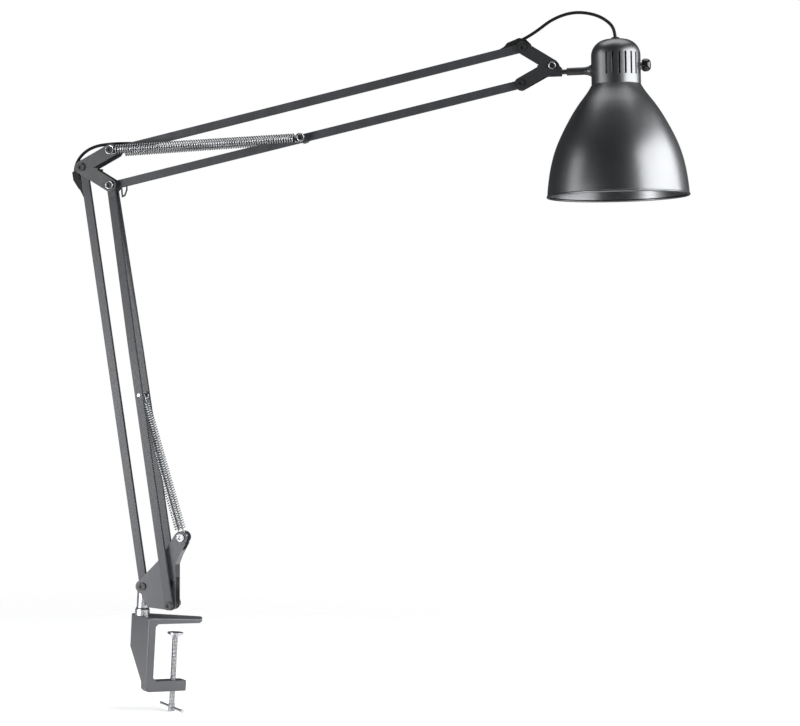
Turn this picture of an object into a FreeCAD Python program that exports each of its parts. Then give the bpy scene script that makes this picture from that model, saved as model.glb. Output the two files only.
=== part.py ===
import FreeCAD, Part
import math
import os

# Spring-balanced desk lamp on a table clamp. Millimetres, +Z up.
# The origin is on the underside of the clamp's top jaw, where it rests on the table's edge.
# The arm moves in the plane Y = 0 and reaches towards +X. "near" pieces lie at -Y, "far" ones at +Y.

V = FreeCAD.Vector
os.makedirs("parts", exist_ok=True)

# ---- arm geometry: driving dimensions ----
ARM_LENGTH = 460.0          # pivot to pivot, both arms
PLATE_PITCH = 38.0          # pivot spacing on the bracket, elbow and head plates
LOWER_ARM_ANGLE = 101.57    # rest angle above +X
UPPER_ARM_ANGLE = 15.55
BASE_PAIR_ANGLE = 151.62    # from the front base pivot to the rear one
ELBOW_PAIR_ANGLE = 90.32    # from the elbow's front pivot up to its top one
TILT_PIVOT_REACH = 38.1     # from the head plates' lower pivot to the shade's tilt pivot
TILT_PIVOT_ANGLE = 31.42
FRONT_PIVOT_X = 19.8        # front base pivot from the origin
FRONT_PIVOT_Z = 20.5
SWIVEL_SETBACK = 33.8       # swivel axis behind the front base pivot

# ---- bars ----
BAR_HEIGHT = 8.4            # in the plane of the arm
BAR_WIDTH = 5.6             # single bars, across the plane
BAR_WALL = 0.8
FRONT_BAR_THICK = 4.6       # the two bars of the front pair
FRONT_SPREAD_BASE = 26.4    # centre spacing of the front pair at the base pivot
FRONT_SPREAD_BEND = 23.6    # and where the pair starts to close
FRONT_BEND_AT = 277.0       # distance of that bend from the base pivot
FRONT_STRAIGHT_END = 12.0   # parallel stretch at the elbow
FRONT_ELBOW_GAP = 0.3       # between the front bars and the bar they straddle

# ---- plates, pivots and fits ----
PLATE_THICK = 2.0
LOBE_R = 7.0
BRACKET_INSIDE = 13.0       # clear width between the bracket's side plates
PLATE_GAP = 0.3             # running gap between faces that turn past each other
SHAFT_R = 2.5
FIT = 0.05                  # radial clearance of pivot shafts
HEAD_R = 4.4                # pivot screw heads
HEAD_THICK = 2.0
SOCKET_R = 2.0
SOCKET_DEPTH = 1.3
NUT_R = 4.2
NUT_THICK = 3.0
BUSH_R = 4.5
BUSH_SHELL = 1.9            # bush wall outside the shaft

# ---- springs ----
UPPER_COIL_R = 4.35         # wire centre
UPPER_WIRE = 1.3
UPPER_TURNS = 30
UPPER_COIL_START = 7.3      # from the pin to the first turn
UPPER_SPRING_PIN = 219.0    # spring pin on the bottom bar, from the elbow pivot
UPPER_Y_ELBOW = 15.6        # spring axis from the arm plane at the elbow
UPPER_Y_BAR = 8.4           # and at the bar
BAR_PIN_R = 2.0
LOWER_COIL_R = 3.9
LOWER_WIRE = 1.2
LOWER_TURNS = 20
LOWER_COIL_START = 9.2
LOWER_SPRING_PIN = 229.5    # spring pin in the front pair, from the base pivot
LOWER_Y_BASE = 5.6
LOWER_Y_BAR = 4.75
ANCHOR_X = 7.3              # spring anchor from the front base pivot
ANCHOR_Z = 73.5
ANCHOR_PIN_R = 2.3
HOOK_BEND = 2.2             # offset of a hook from the coil's axis
HOOK_SWEEP = 270.0          # degrees of wire round the pin
PIN_SEAT = 0.3              # hook to pin
STOP_WIRE = 1.8

# ---- clamp ----
CLAMP_YAW = 43.7            # jaws turned from the arm plane at rest
CLAMP_NEAR = 26.5           # near side face, from the swivel axis
CLAMP_FAR = 17.5            # far side of the upright
CLAMP_BACK = 4.6            # back face behind the swivel axis
CLAMP_COLUMN = 8.5          # thickness of the upright
TAPER_START = 29.6          # below the top jaw, where the far side starts to slope in
TAPER_END = 64.0
JAW_REACH = 57.0            # top jaw's near corner, from the swivel axis
JAW_NOSE = 70.5             # its tip
JAW_NOSE_SIDE = 1.5
JAW_OPENING = 62.0
JAW_TOP_THICK = 6.7
JAW_TIP_THICK = 4.0
LOWER_JAW_REACH = 43.8
LOWER_JAW_WIDTH = 13.0
LOWER_JAW_THICK = 11.6
CLAMP_EDGE_R = 1.5
HEEL_R = 5.0                # lower back corner
COLLAR_R = 8.0
COLLAR_TOP = 13.2
WASHER_R = 7.2
WASHER_THICK = 1.8
SPIGOT_R = 5.0
STUD_R = 2.5                # the spigot's foot in the casting
SCREW_AXIS = 31.0           # clamp screw from the swivel axis, along the jaws
SCREW_OFFSET = -20.0        # and across them, in the middle of the lower jaw
SCREW_R = 3.0
THREAD_FIT = 0.06
CLAMPED_GAP = 10.1          # foot below the top jaw at rest
FOOT_R = 8.6
FOOT_THICK = 4.6
SCREW_LENGTH = 80.8
TOMMY_R = 1.5
TOMMY_LENGTH = 57.0
TOMMY_ANGLE = -49.2
TOMMY_ABOVE_END = 3.2

# ---- head ----
HEAD_LEAN = 4.1             # the shade's rest lean, nose up
ROD_DROP = 6.6              # rod axis below the tilt pivot
ROD_R = 4.0
ROD_START = 14.7            # from the tilt pivot along the rod
NECK_AXIS = 66.0            # shade axis from the tilt pivot
NECK_R = 25.7
NECK_FOOT = -15.8           # below the rod axis, where the bell begins
NECK_TOP = 15.1
DOME_TOP = 31.0
RIM_R = 74.0
RIM_DROP = 131.5
SHEET = 1.0
SLOT_COUNT = 7              # on each side
SLOT_FIRST = -17.0
SLOT_STEP = 15.2
SLOT_WIDTH = 2.0
SLOT_LOW = -6.8
SLOT_HIGH = 16.2
KNOB_R = 6.85
KNOB_HEIGHT = 10.8
KNOB_LEVEL = 3.4
HOLDER_R = 17.5
HOLDER_FOOT = -42.0
HOLDER_TOP = -9.0
CAP_R = 13.0
BULB_R = 29.0
BULB_CENTRE = -90.0
BULB_WALL = 0.9

# ---- cable ----
CABLE_D = 3.4
CABLE_FIT = 0.12
JOIN_GAP = 0.2              # left where two lengths of cable meet at an angle


def polar(length, degrees):
    a = math.radians(degrees)
    return V(length * math.cos(a), 0, length * math.sin(a))


def save(name, *solids):
    shape = solids[0] if len(solids) == 1 else Part.makeCompound(list(solids))
    shape.exportStep("parts/%s.step" % name)
    volume = sum(s.Volume for s in shape.Solids)
    print("%-26s %2d solid(s) %10.1f mm3 valid %s" % (name, len(shape.Solids), volume, shape.isValid()))


def place(shape, origin, degrees=0.0):
    """Turn a piece drawn along +X up by an angle in the plane of the arm and set it at a point."""
    moved = shape.copy()
    moved.Placement = FreeCAD.Placement(origin, FreeCAD.Rotation(V(0, 1, 0), -degrees))
    return moved


def cross_cylinder(r, y0, y1, x=0.0, z=0.0):
    """A cylinder along Y."""
    return Part.makeCylinder(r, y1 - y0, V(x, y0, z), V(0, 1, 0))


def box(x0, x1, y0, y1, z0, z1):
    return Part.makeBox(x1 - x0, y1 - y0, z1 - z0, V(x0, y0, z0))


def slab(points, y0, y1):
    """A polygon in the plane of the arm, made solid from y0 to y1."""
    loop = [V(x, y0, z) for x, z in points]
    face = Part.Face(Part.makePolygon(loop + loop[:1]))
    return face.extrude(V(0, y1 - y0, 0))


def link_plate(centres, r, y0, y1):
    """The hull of equal round lobes, as a plate."""
    plate = None
    count = len(centres)
    for i, a in enumerate(centres):
        b = centres[(i + 1) % count]
        side = V(b.z - a.z, 0, a.x - b.x)
        side.normalize()
        strip = slab([(a.x + side.x * r, a.z + side.z * r), (b.x + side.x * r, b.z + side.z * r),
                      (b.x - side.x * r, b.z - side.z * r), (a.x - side.x * r, a.z - side.z * r)], y0, y1)
        lobe = cross_cylinder(r, y0, y1, a.x, a.z)
        piece = strip.fuse(lobe)
        plate = piece if plate is None else plate.fuse(piece)
    if count > 2:
        plate = plate.fuse(slab([(c.x, c.z) for c in centres], y0, y1))
    return plate.removeSplitter()


def revolve(points, axis_point=V(0, 0, 0), axis=V(0, 0, 1)):
    """A closed outline of (radius, height) points turned about +Z."""
    loop = [V(r, 0, z) for r, z in points]
    face = Part.Face(Part.makePolygon(loop + loop[:1]))
    return face.revolve(axis_point, axis, 360)


def tube_along(edges, d):
    """A round solid along joined tangent edges, and its length."""
    wire = Part.Wire(edges)
    start = edges[0]
    first = start.firstVertex().Point
    tangent = start.tangentAt(start.FirstParameter)
    ring = Part.Wire([Part.Circle(first, tangent, d / 2.0).toShape()])
    return wire.makePipeShell([ring], True, False), wire.Length


# ---- cable routes: straight runs joined by tangent arcs ----
def rounded_route(points):
    radii = []
    edges = []
    start = points[0]
    for i in range(1, len(points) - 1):
        before = points[i] - points[i - 1]
        after = points[i + 1] - points[i]
        turn = before.getAngle(after)
        r = 0.45 * min(before.Length, after.Length) / math.tan(turn / 2.0)
        reach = r * math.tan(turn / 2.0)
        u = V(before).normalize()
        w = V(after).normalize()
        arc_start = points[i] - u * reach
        arc_end = points[i] + w * reach
        inward = (w - u).normalize()
        middle = points[i] + inward * (r / math.cos(turn / 2.0) - r)
        edges.append(Part.LineSegment(start, arc_start).toShape())
        edges.append(Part.Arc(arc_start, middle, arc_end).toShape())
        start = arc_end
        radii.append(r)
    edges.append(Part.LineSegment(start, points[-1]).toShape())
    return edges, radii


def cable(name, points):
    edges, radii = rounded_route(points)
    solid, length = tube_along(edges, CABLE_D)
    ideal = math.pi * CABLE_D ** 2 / 4 * length
    print("%s: radii %s, length %.1f, volume / (section x length) %.4f"
          % (name, ["%.1f" % r for r in radii], length, solid.Volume / ideal))
    return solid


# ---- pivots and bars ----
def pivot_screw(point, y_head, y_end, r=SHAFT_R, head_r=HEAD_R, head_t=HEAD_THICK):
    """A screw along Y: a button head with a hexagon socket at y_head, its shank running to y_end."""
    side = 1.0 if y_end > y_head else -1.0
    outer = y_head - side * head_t
    head = cross_cylinder(head_r, min(outer, y_head), max(outer, y_head))
    shank = cross_cylinder(r, min(y_head, y_end), max(y_head, y_end))
    corners = [(SOCKET_R * math.cos(math.radians(a)), SOCKET_R * math.sin(math.radians(a)))
               for a in range(0, 360, 60)]
    floor = outer + side * SOCKET_DEPTH
    socket = slab(corners, min(outer, floor), max(outer, floor))
    return place(head.fuse(shank).cut(socket).removeSplitter(), point)


def lock_nut(point, y0, r=SHAFT_R, nut_r=NUT_R, thick=NUT_THICK):
    corners = [(nut_r * math.cos(math.radians(a)), nut_r * math.sin(math.radians(a)))
               for a in range(30, 390, 60)]
    nut = slab(corners, y0, y0 + thick).cut(cross_cylinder(r + 0.01, y0, y0 + thick))
    return place(nut, point)


def bush_pair(point, inner, outer, r=BUSH_R, bore=SHAFT_R + FIT):
    ring = [cross_cylinder(r, a, b).cut(cross_cylinder(bore, a, b))
            for a, b in ((-outer, -inner), (inner, outer))]
    return [place(s, point) for s in ring]


def bar_outline(length, r):
    """Stadium outline from pivot to pivot, drawn along +X, 60 mm wide in Y."""
    return slab([(0, -r), (length, -r), (length, r), (0, r)], -30, 30).fuse(
        [cross_cylinder(r, -30, 30), cross_cylinder(r, -30, 30, length)])


def single_bar(length):
    """Rectangular tube with rounded ends, cross-drilled at both pivots."""
    half = BAR_HEIGHT / 2.0
    w = BAR_WIDTH / 2.0
    bar = box(-half, length + half, -w, w, -half, half).common(bar_outline(length, half))
    inner = box(-half - 1, length + half + 1, -w + BAR_WALL, w - BAR_WALL, -half + BAR_WALL, half - BAR_WALL)
    bar = bar.cut(inner)
    for x in (0, length):
        bar = bar.cut(cross_cylinder(SHAFT_R + FIT, -w - 1, w + 1, x))
    return bar


def front_bar(side):
    """One bar of the front pair: bent in plan, so that the pair straddles the elbow and the bracket."""
    half = BAR_HEIGHT / 2.0
    t = FRONT_BAR_THICK / 2.0
    near_elbow = BAR_WIDTH / 2.0 + FRONT_ELBOW_GAP + t
    middle = [(-half - 1, FRONT_SPREAD_BASE / 2.0), (FRONT_BEND_AT, FRONT_SPREAD_BEND / 2.0),
              (ARM_LENGTH - FRONT_STRAIGHT_END, near_elbow), (ARM_LENGTH + half + 1, near_elbow)]

    def strip(thick, height):
        edge = [V(x, side * (y + thick), 0) for x, y in middle]
        edge += [V(x, side * (y - thick), 0) for x, y in reversed(middle)]
        face = Part.Face(Part.makePolygon(edge + edge[:1]))
        solid = face.extrude(V(0, 0, height))
        solid.translate(V(0, 0, -height / 2.0))
        return solid

    bar = strip(t, BAR_HEIGHT).common(bar_outline(ARM_LENGTH, half))
    bar = bar.cut(strip(t - BAR_WALL, BAR_HEIGHT - 2 * BAR_WALL))
    for x in (0, ARM_LENGTH):
        bar = bar.cut(cross_cylinder(SHAFT_R + FIT, -30, 30, x))
    return bar.cut(cross_cylinder(BAR_PIN_R + FIT, -30, 30, LOWER_SPRING_PIN))


# ---- springs: one wire, hooks included, on biarcs ----
def biarc(p0, t0, p1, t1):
    """Two tangent arcs from p0 along t0 to p1 along t1."""
    v = p1 - p0
    s = t0 + t1
    a = 2.0 * (t0.dot(t1) - 1.0)
    b = -2.0 * v.dot(s)
    c = v.dot(v)
    d = (-b - math.sqrt(b * b - 4 * a * c)) / (2 * a)
    q0 = p0 + t0 * d
    q1 = p1 - t1 * d
    joint = (q0 + q1) * 0.5
    return [tangent_arc(p0, q0, joint), tangent_arc(joint, q1, p1)]


def tangent_arc(start, corner, end):
    chord = (start + end) * 0.5
    half = (end - start).Length / 2.0
    turn = (corner - start).getAngle(end - corner)
    lift = (corner - chord).normalize() * (half * math.tan(turn / 4.0))
    return Part.Arc(start, chord + lift, end).toShape()


def helix_point(angle, start, pitch, r):
    return V(start + pitch * angle / (2 * math.pi), r * math.sin(angle), r * math.cos(angle))


def helix_tangent(angle, pitch, r):
    return V(pitch / (2 * math.pi), r * math.cos(angle), -r * math.sin(angle)).normalize()


def coil_edges(start, end, turns, r):
    """A right-hand helix along +X from its top point, on biarcs of a quarter turn."""
    pitch = (end - start) / turns
    edges = []
    for quarter in range(4 * turns):
        a = quarter * math.pi / 2
        b = a + math.pi / 2
        edges += biarc(helix_point(a, start, pitch, r), helix_tangent(a, pitch, r),
                       helix_point(b, start, pitch, r), helix_tangent(b, pitch, r))
    return edges, pitch


def hook_edges(coil_start, centre, r, pitch, wire):
    """From the coil's first point, back along the axis and round the pin; ends straight."""
    p0 = helix_point(0, coil_start, pitch, r)
    t0 = helix_tangent(0, pitch, r) * -1.0
    p1 = V(coil_start - HOOK_BEND, -HOOK_BEND, r)
    back = V(-1, 0, 0)
    edges = biarc(p0, t0, p1, back)
    top = V(centre, -HOOK_BEND, r)
    edges.append(Part.LineSegment(p1, top).toShape())

    def round_pin(degrees):
        a = math.radians(90 + degrees)
        return V(centre + r * math.cos(a), -HOOK_BEND, r * math.sin(a))

    half = HOOK_SWEEP / 2.0
    edges.append(Part.Arc(top, round_pin(half / 2), round_pin(half)).toShape())
    edges.append(Part.Arc(round_pin(half), round_pin(1.5 * half), round_pin(HOOK_SWEEP)).toShape())
    a = math.radians(90 + HOOK_SWEEP)
    tip = round_pin(HOOK_SWEEP) + V(-math.sin(a), 0, math.cos(a)) * wire
    edges.append(Part.LineSegment(round_pin(HOOK_SWEEP), tip).toShape())
    return edges


def turned_about_end(edges, length):
    """The hook for the far end: the same hook turned half a turn about Z at the spring's middle."""
    moved = []
    for e in edges:
        c = e.copy()
        c.rotate(V(length / 2.0, 0, 0), V(0, 0, 1), 180)
        moved.append(c)
    return moved


def reversed_edges(edges):
    """The same run of arcs and lines, walked from its other end."""
    out = []
    for e in reversed(edges):
        a = e.valueAt(e.FirstParameter)
        b = e.valueAt(e.LastParameter)
        if isinstance(e.Curve, Part.Line):
            out.append(Part.LineSegment(b, a).toShape())
        else:
            m = e.valueAt((e.FirstParameter + e.LastParameter) / 2.0)
            out.append(Part.Arc(b, m, a).toShape())
    return out


def least_gap(edges, wire, skip):
    """Least distance between stretches of a wire more than `skip` apart along it, less its diameter."""
    path = Part.Wire(edges)
    count = int(path.Length / 0.8)
    points = path.discretize(Number=count)
    step = path.Length / (count - 1)
    apart = int(skip / step) + 1
    best = 1e9
    for i, p in enumerate(points):
        for q in points[i + apart:i + apart + 90]:
            best = min(best, (p - q).Length)
    return best - wire


def spring_frame(pin_a, pin_b, y_a, y_b, flip):
    """Placement of a spring drawn along +X from pin_a to pin_b; flip turns it over about its axis."""
    a = V(pin_a.x, y_a, pin_a.z)
    b = V(pin_b.x, y_b, pin_b.z)
    along = (b - a).normalize()
    across = V(0, 1, 0)
    up = along.cross(across).normalize()
    across = up.cross(along)
    if flip:
        across = across * -1.0
        up = up * -1.0
    m = FreeCAD.Matrix(along.x, across.x, up.x, a.x, along.y, across.y, up.y, a.y,
                       along.z, across.z, up.z, a.z, 0, 0, 0, 1)
    return FreeCAD.Placement(m), (b - a).Length


def at(shape, placement):
    moved = shape.copy()
    moved.Placement = placement
    return moved


# ==== pivot points ====
FRONT = V(FRONT_PIVOT_X, 0, FRONT_PIVOT_Z)
REAR = FRONT + polar(PLATE_PITCH, BASE_PAIR_ANGLE)
ELBOW_FRONT = FRONT + polar(ARM_LENGTH, LOWER_ARM_ANGLE)
ELBOW_REAR = REAR + polar(ARM_LENGTH, LOWER_ARM_ANGLE)
ELBOW_TOP = ELBOW_FRONT + polar(PLATE_PITCH, ELBOW_PAIR_ANGLE)
HEAD_LOW = ELBOW_FRONT + polar(ARM_LENGTH, UPPER_ARM_ANGLE)
HEAD_HIGH = ELBOW_TOP + polar(ARM_LENGTH, UPPER_ARM_ANGLE)
TILT = HEAD_LOW + polar(TILT_PIVOT_REACH, TILT_PIVOT_ANGLE)
SWIVEL_X = FRONT_PIVOT_X - SWIVEL_SETBACK
ANCHOR = FRONT + V(ANCHOR_X, 0, ANCHOR_Z)
FRONT_SPRING = FRONT + polar(LOWER_SPRING_PIN, LOWER_ARM_ANGLE)
BAR_SPRING = ELBOW_FRONT + polar(UPPER_SPRING_PIN, UPPER_ARM_ANGLE)
for label, p in (("front", FRONT), ("rear", REAR), ("elbow front", ELBOW_FRONT), ("elbow rear", ELBOW_REAR),
                 ("elbow top", ELBOW_TOP), ("head low", HEAD_LOW), ("head high", HEAD_HIGH), ("tilt", TILT),
                 ("anchor", ANCHOR), ("front spring", FRONT_SPRING), ("bar spring", BAR_SPRING)):
    print("%-12s %8.2f %8.2f" % (label, p.x, p.z))

# derived levels across the plane of the arm
BAR_HALF = BAR_WIDTH / 2.0
BRACKET_IN = BRACKET_INSIDE / 2.0
BRACKET_OUT = BRACKET_IN + PLATE_THICK
FRONT_BASE_IN = FRONT_SPREAD_BASE / 2.0 - FRONT_BAR_THICK / 2.0
FRONT_BASE_OUT = FRONT_BASE_IN + FRONT_BAR_THICK
FRONT_ELBOW_IN = BAR_HALF + FRONT_ELBOW_GAP
ELBOW_IN = FRONT_ELBOW_IN + FRONT_BAR_THICK + PLATE_GAP
ELBOW_OUT = ELBOW_IN + PLATE_THICK
HEAD_IN = BAR_HALF + PLATE_GAP
HEAD_OUT = HEAD_IN + PLATE_THICK
BUSH_GAP = 0.1


# ==== clamp ====
def prism(corners, extrusion):
    return Part.Face(Part.makePolygon(corners + corners[:1])).extrude(extrusion)


def clamp_frame_shape():
    back = -CLAMP_BACK
    inner = back + CLAMP_COLUMN
    floor = -JAW_OPENING
    bottom = floor - LOWER_JAW_THICK
    lower_far = LOWER_JAW_WIDTH - CLAMP_NEAR
    side = slab([(back, JAW_TOP_THICK), (inner, JAW_TOP_THICK), (JAW_NOSE, JAW_TIP_THICK), (JAW_NOSE, 0),
                 (inner + 3, 0), (inner, -3), (inner, floor + 4), (inner + 4, floor), (LOWER_JAW_REACH, floor),
                 (LOWER_JAW_REACH, bottom), (back, bottom)], -40, 40)
    rear_view = [V(-40, -CLAMP_NEAR, 20), V(-40, CLAMP_FAR, 20), V(-40, CLAMP_FAR, -TAPER_START),
                 V(-40, lower_far, -TAPER_END), V(-40, lower_far, -90), V(-40, -CLAMP_NEAR, -90)]
    top_view = [V(back, -CLAMP_NEAR, -90), V(JAW_REACH, -CLAMP_NEAR, -90), V(JAW_REACH + 9.5, -13.5, -90),
                V(JAW_NOSE, -JAW_NOSE_SIDE, -90), V(inner + 12, CLAMP_FAR, -90), V(back, CLAMP_FAR, -90)]
    body = side.common(prism(rear_view, V(140, 0, 0))).common(prism(top_view, V(0, 0, 120))).removeSplitter()
    heel = [e for e in body.Edges if abs(e.CenterOfMass.x - back) < 0.1 and e.CenterOfMass.z < bottom + 0.1]
    body = body.makeFillet(HEEL_R, heel)
    back_sides = [e for e in body.Edges
                  if abs(e.CenterOfMass.x - back) < 0.1 and abs(e.tangentAt(e.FirstParameter).z) > 0.5]
    body = body.makeFillet(CLAMP_EDGE_R, back_sides)
    jaw_top = [e for e in body.Edges if e.Length > 30 and e.CenterOfMass.z > 3 and e.CenterOfMass.x > 10]
    body = body.makeFillet(CLAMP_EDGE_R, jaw_top)
    body = body.cut(Part.makeCylinder(STUD_R + 0.01, 40, V(0, 0, SPIGOT_BOTTOM)))
    return body.cut(Part.makeCylinder(SCREW_R + THREAD_FIT, 40, V(SCREW_AXIS, SCREW_OFFSET, bottom - 5)))


def in_clamp(shape):
    """From the clamp's own axes, jaws along +X from the swivel axis, to the lamp's."""
    turned = shape.copy()
    turned.Placement = FreeCAD.Placement(V(SWIVEL_X, 0, 0), FreeCAD.Rotation(V(0, 0, 1), CLAMP_YAW)).multiply(
        shape.Placement)
    return turned


SPIGOT_BOTTOM = 1.0
SLEEVE_BOTTOM = COLLAR_TOP + WASHER_THICK + 0.2
SLEEVE_TOP = REAR.z - BAR_HEIGHT / 2.0 - 0.8
save("clamp_frame", in_clamp(clamp_frame_shape()))

spigot = Part.makeCylinder(SPIGOT_R, SLEEVE_TOP - 0.6 - JAW_TOP_THICK, V(0, 0, JAW_TOP_THICK))
spigot = spigot.fuse(Part.makeCylinder(STUD_R, JAW_TOP_THICK - SPIGOT_BOTTOM, V(0, 0, SPIGOT_BOTTOM)))
save("swivel_spigot", in_clamp(spigot))
collar = Part.makeCylinder(COLLAR_R, COLLAR_TOP - JAW_TOP_THICK, V(0, 0, JAW_TOP_THICK))
save("swivel_collar", in_clamp(collar.cut(Part.makeCylinder(SPIGOT_R + 0.01, 40, V(0, 0, 0)))))

FOOT_TOP = -CLAMPED_GAP
foot = revolve([(0, 0), (FOOT_R, 0), (FOOT_R, -1.6), (SCREW_R + 1.3, -FOOT_THICK), (0, -FOOT_THICK)])
foot = foot.cut(Part.makeCylinder(SCREW_R - 0.6 + FIT, FOOT_THICK - 1.8, V(0, 0, -FOOT_THICK)))
foot = foot.cut(Part.makeCone(FOOT_R - 1.4, FOOT_R - 2.6, 0.7, V(0, 0, 0), V(0, 0, -1)))
foot.translate(V(SCREW_AXIS, SCREW_OFFSET, FOOT_TOP))
save("clamp_foot", in_clamp(foot))

screw_top = FOOT_TOP - FOOT_THICK - 0.05
screw_end = FOOT_TOP - FOOT_THICK - SCREW_LENGTH
screw_foot = V(SCREW_AXIS, SCREW_OFFSET, screw_end)
screw = Part.makeCylinder(SCREW_R, screw_top - screw_end, screw_foot)
screw = screw.fuse(Part.makeCylinder(SCREW_R - 0.6, FOOT_THICK - 1.9, V(SCREW_AXIS, SCREW_OFFSET, screw_top)))
screw = screw.fuse(Part.makeCylinder(SCREW_R + 0.6, 2 * TOMMY_ABOVE_END + 1.4, screw_foot))
tommy_centre = screw_foot + V(0, 0, TOMMY_ABOVE_END + 0.7)
tommy_turn = math.radians(TOMMY_ANGLE - CLAMP_YAW)
tommy_dir = V(math.cos(tommy_turn), math.sin(tommy_turn), 0)
tommy_start = tommy_centre - tommy_dir * (TOMMY_LENGTH / 2.0)
screw = screw.cut(Part.makeCylinder(TOMMY_R + FIT, TOMMY_LENGTH, tommy_start, tommy_dir))
save("clamp_screw", in_clamp(screw.removeSplitter()))
tommy = Part.makeCylinder(TOMMY_R, TOMMY_LENGTH, tommy_start, tommy_dir)
for end in (0.0, TOMMY_LENGTH - 1.6):
    tommy = tommy.fuse(Part.makeCylinder(TOMMY_R + 0.45, 1.6, tommy_start + tommy_dir * end, tommy_dir))
save("tommy_bar", in_clamp(tommy.removeSplitter()))


# ==== base bracket ====
def bracket_plate(y0, y1):
    rear = REAR - FRONT
    outline = [(-25.5, -3.9), (-3.7, -5.2), (5.6, -1.2), (3.2, 44.2), (6.2, 53.4), (12.9, 67.8),
               (0.6, 76.6), (-12.4, 51.8), (rear.x - 3.5, rear.z + 6.0), (rear.x - 7.0, rear.z + 1.0)]
    plate = slab(outline, y0, y1)
    for c, r in ((rear, LOBE_R), (V(0, 0, 0), 5.6), (ANCHOR - FRONT, LOBE_R)):
        plate = plate.fuse(cross_cylinder(r, y0, y1, c.x, c.z))
    plate = plate.cut(cross_cylinder(SHAFT_R + FIT, y0, y1, rear.x, rear.z))
    plate = plate.cut(cross_cylinder(SHAFT_R + FIT, y0, y1))
    plate = plate.cut(cross_cylinder(ANCHOR_PIN_R + FIT, y0, y1, ANCHOR_X, ANCHOR_Z))
    return plate.cut(cross_cylinder(6.2, y0, y1, -4.8, 23.3))


bracket = bracket_plate(-BRACKET_OUT, -BRACKET_IN).fuse(bracket_plate(BRACKET_IN, BRACKET_OUT))
web = slab([(3.9, 30.2), (3.2, 44.2), (6.2, 53.4), (9.3, 60.1), (7.6, 60.9), (4.4, 54.1), (1.2, 44.5), (1.9, 30.1)],
           -BRACKET_OUT, BRACKET_OUT)
bracket = bracket.fuse(web).removeSplitter()
save("base_bracket", place(bracket, FRONT))

SLEEVE_R = BRACKET_IN
sleeve = Part.makeCylinder(SLEEVE_R, SLEEVE_TOP - SLEEVE_BOTTOM, V(SWIVEL_X, 0, SLEEVE_BOTTOM))
sleeve = sleeve.cut(Part.makeCylinder(SPIGOT_R + FIT, 80, V(SWIVEL_X, 0, 0)))
save("swivel_sleeve", sleeve)
washer = Part.makeCylinder(WASHER_R, WASHER_THICK, V(SWIVEL_X, 0, COLLAR_TOP))
save("friction_washer", washer.cut(Part.makeCylinder(SPIGOT_R + FIT, 80, V(SWIVEL_X, 0, 0))))

save("base_pivot_screws",
     pivot_screw(REAR, -BRACKET_OUT, BRACKET_OUT + NUT_THICK + 1),
     pivot_screw(FRONT, -FRONT_BASE_OUT - BUSH_GAP, FRONT_BASE_OUT + NUT_THICK + 1))
save("base_pivot_nuts", lock_nut(REAR, BRACKET_OUT), lock_nut(FRONT, FRONT_BASE_OUT + BUSH_GAP))
rear_bushes = bush_pair(REAR, BAR_HALF + BUSH_GAP, BRACKET_IN)
front_bushes = bush_pair(FRONT, BRACKET_OUT, FRONT_BASE_IN - BUSH_GAP - 0.1)
middle_bush = cross_cylinder(BUSH_R, -BRACKET_IN, BRACKET_IN).cut(
    cross_cylinder(SHAFT_R + FIT, -BRACKET_IN, BRACKET_IN))
save("base_pivot_bushes", *(rear_bushes + front_bushes + [place(middle_bush, FRONT)]))
anchor_pin = pivot_screw(ANCHOR, -BRACKET_OUT, BRACKET_OUT, ANCHOR_PIN_R, 4.2, 1.6)
anchor_cap = cross_cylinder(4.2, BRACKET_OUT, BRACKET_OUT + 1.6, ANCHOR.x, ANCHOR.z)
save("spring_anchor_pin", anchor_pin.fuse(anchor_cap).removeSplitter())


# ==== lower arm ====
CABLE_R = CABLE_D / 2.0
SLOT_HALF = BAR_WIDTH / 2.0 - BAR_WALL
half_h = BAR_HEIGHT / 2.0
rear_bar = single_bar(ARM_LENGTH)
rear_bar = rear_bar.cut(box(ARM_LENGTH - 45, ARM_LENGTH - 18, -SLOT_HALF, SLOT_HALF, half_h - BAR_WALL - 0.5, half_h + 1))
rear_bar = place(rear_bar, REAR, LOWER_ARM_ANGLE)
save("lower_rear_bar", rear_bar)
for side, label in ((-1, "near"), (1, "far")):
    save("lower_front_bar_" + label, place(front_bar(side), FRONT, LOWER_ARM_ANGLE))
pin_half = FRONT_SPREAD_BASE / 2.0 + (FRONT_SPREAD_BEND - FRONT_SPREAD_BASE) / 2.0 * LOWER_SPRING_PIN / FRONT_BEND_AT
pin_half += FRONT_BAR_THICK / 2.0 - 0.2
save("lower_spring_pin", place(cross_cylinder(BAR_PIN_R, -pin_half, pin_half), FRONT_SPRING))


# ==== elbow ====
elbow_notch_tip = ELBOW_FRONT + V(-14.9, 0, 15.8)

def elbow_plate(y0, y1):
    plate = link_plate([ELBOW_REAR, ELBOW_FRONT, ELBOW_TOP], LOBE_R, y0, y1)
    keep = link_plate([ELBOW_REAR, ELBOW_FRONT], LOBE_R, y0, y1).fuse(
        link_plate([ELBOW_REAR, ELBOW_TOP], LOBE_R, y0, y1))
    keep = keep.fuse(slab([(ELBOW_REAR.x, ELBOW_REAR.z), (elbow_notch_tip.x, elbow_notch_tip.z - 2.5),
                           (elbow_notch_tip.x, elbow_notch_tip.z + 2.5)], y0, y1))
    plate = plate.common(keep).removeSplitter()
    for p in (ELBOW_REAR, ELBOW_FRONT, ELBOW_TOP):
        plate = plate.cut(cross_cylinder(SHAFT_R + FIT, y0, y1, p.x, p.z))
    return plate


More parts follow.
